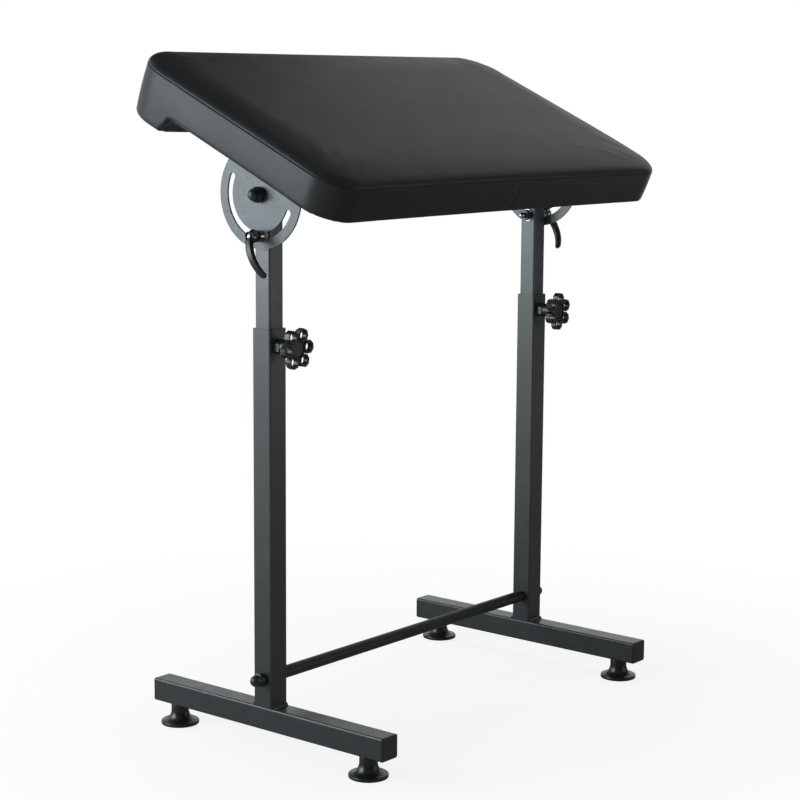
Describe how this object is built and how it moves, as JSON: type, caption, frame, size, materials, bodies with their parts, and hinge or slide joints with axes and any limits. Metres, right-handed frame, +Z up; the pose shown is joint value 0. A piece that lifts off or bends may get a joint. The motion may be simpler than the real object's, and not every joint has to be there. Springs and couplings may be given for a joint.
{
  "type": "tattoo arm rest stand",
  "caption": "Padded arm rest on an H-shaped stand with telescoping posts, star knobs, slotted tilt plates with quick-release levers, and levelling feet.",
  "frame": {"origin": "on the floor, at the middle of the stand's footprint", "axes": "+X from the left post to the right post, +Y from the pad's low front edge to its high rear edge, +Z up"},
  "size_m": [0.7, 0.395, 0.8781],
  "materials": {
    "frame_paint": "satin black powder coat",
    "bar_paint": "satin black",
    "post_paint": "satin dark grey",
    "cap_plastic": "black moulded plastic",
    "foot_plastic": "black moulded plastic, slightly glossy",
    "knob_plastic": "black moulded plastic",
    "zinc": "zinc plated",
    "bright_steel": "bright plated",
    "dark_steel": "black oxide",
    "lever_alloy": "satin black",
    "washer_nylon": "nylon",
    "plate_steel": "satin grey plating",
    "board_wood": "plywood",
    "cover_cloth": "thin black cloth",
    "pad_cloth": "soft coated cloth over foam"
  },
  "bodies": {
    "stand_frame": {"left_base_bar": "frame_paint", "right_base_bar": "frame_paint", "left_front_end_cap": "cap_plastic", "left_rear_end_cap": "cap_plastic", "right_front_end_cap": "cap_plastic", "right_rear_end_cap": "cap_plastic", "left_outer_post": "frame_paint", "right_outer_post": "frame_paint", "cross_bar": "bar_paint", "cross_bar_plugs": "zinc", "cross_bar_bolts": "zinc", "cross_bar_washers": "bar_paint", "cross_bar_bolt_caps": "cap_plastic", "foot_nuts": "zinc", "knob_nuts": "frame_paint"},
    "lift": {"left_inner_post": "post_paint", "right_inner_post": "post_paint", "left_post_plug": "cap_plastic", "right_post_plug": "cap_plastic", "left_pivot_bolt": "zinc", "right_pivot_bolt": "zinc", "pivot_washers": "zinc", "pivot_nuts": "zinc", "left_pivot_cap": "cap_plastic", "right_pivot_cap": "cap_plastic", "friction_washers": "washer_nylon", "left_clamp_rod": "bright_steel", "right_clamp_rod": "bright_steel", "left_cross_pin": "bright_steel", "right_cross_pin": "bright_steel", "left_cam_saddle": "bright_steel", "right_cam_saddle": "bright_steel", "clamp_washers": "zinc", "clamp_nuts": "dark_steel"},
    "pad": {"left_tilt_plate": "plate_steel", "right_tilt_plate": "plate_steel", "left_plate_screws": "zinc", "right_plate_screws": "zinc", "pad_board": "board_wood", "underside_cover": "cover_cloth", "pad_cushion": "pad_cloth"},
    "left_knob": {"left_star_knob": "knob_plastic", "left_knob_screw": "zinc"},
    "left_lever": {"left_clamp_lever": "lever_alloy"},
    "right_knob": {"right_star_knob": "knob_plastic", "right_knob_screw": "zinc"},
    "right_lever": {"right_clamp_lever": "lever_alloy"},
    "left_front_leveller": {"left_front_foot": "foot_plastic", "left_front_foot_stud": "zinc"},
    "left_rear_leveller": {"left_rear_foot": "foot_plastic", "left_rear_foot_stud": "zinc"},
    "right_front_leveller": {"right_front_foot": "foot_plastic", "right_front_foot_stud": "zinc"},
    "right_rear_leveller": {"right_rear_foot": "foot_plastic", "right_rear_foot_stud": "zinc"}
  },
  "joints": [
    {"name": "height", "type": "slide", "parent": "stand_frame", "child": "lift", "axis": [0, 0, 1], "range_m": [-0.095, 0.2]},
    {"name": "tilt", "type": "hinge", "parent": "lift", "child": "pad", "pos_m": [0, 0, 0.706], "axis": [1, 0, 0], "range_deg": [-99.5, 50.5]},
    {"name": "left_knob_turn", "type": "hinge", "parent": "stand_frame", "child": "left_knob", "pos_m": [-0.278, -0.048, 0.519], "axis": [0, 1, 0], "continuous": true},
    {"name": "right_knob_turn", "type": "hinge", "parent": "stand_frame", "child": "right_knob", "pos_m": [0.278, -0.048, 0.519], "axis": [0, 1, 0], "continuous": true},
    {"name": "left_lever_swing", "type": "hinge", "parent": "lift", "child": "left_lever", "pos_m": [-0.3091, 0, 0.6555], "axis": [0, 0.9063, -0.4226], "range_deg": [0, 110]},
    {"name": "right_lever_swing", "type": "hinge", "parent": "lift", "child": "right_lever", "pos_m": [0.3091, 0, 0.6555], "axis": [0, -0.9063, 0.4226], "range_deg": [0, 110]},
    {"name": "left_front_foot_screw", "type": "slide", "parent": "stand_frame", "child": "left_front_leveller", "axis": [0, 0, 1], "range_m": [-0.012, 0]},
    {"name": "left_rear_foot_screw", "type": "slide", "parent": "stand_frame", "child": "left_rear_leveller", "axis": [0, 0, 1], "range_m": [-0.012, 0]},
    {"name": "right_front_foot_screw", "type": "slide", "parent": "stand_frame", "child": "right_front_leveller", "axis": [0, 0, 1], "range_m": [-0.012, 0]},
    {"name": "right_rear_foot_screw", "type": "slide", "parent": "stand_frame", "child": "right_rear_leveller", "axis": [0, 0, 1], "range_m": [-0.012, 0]}
  ]
}
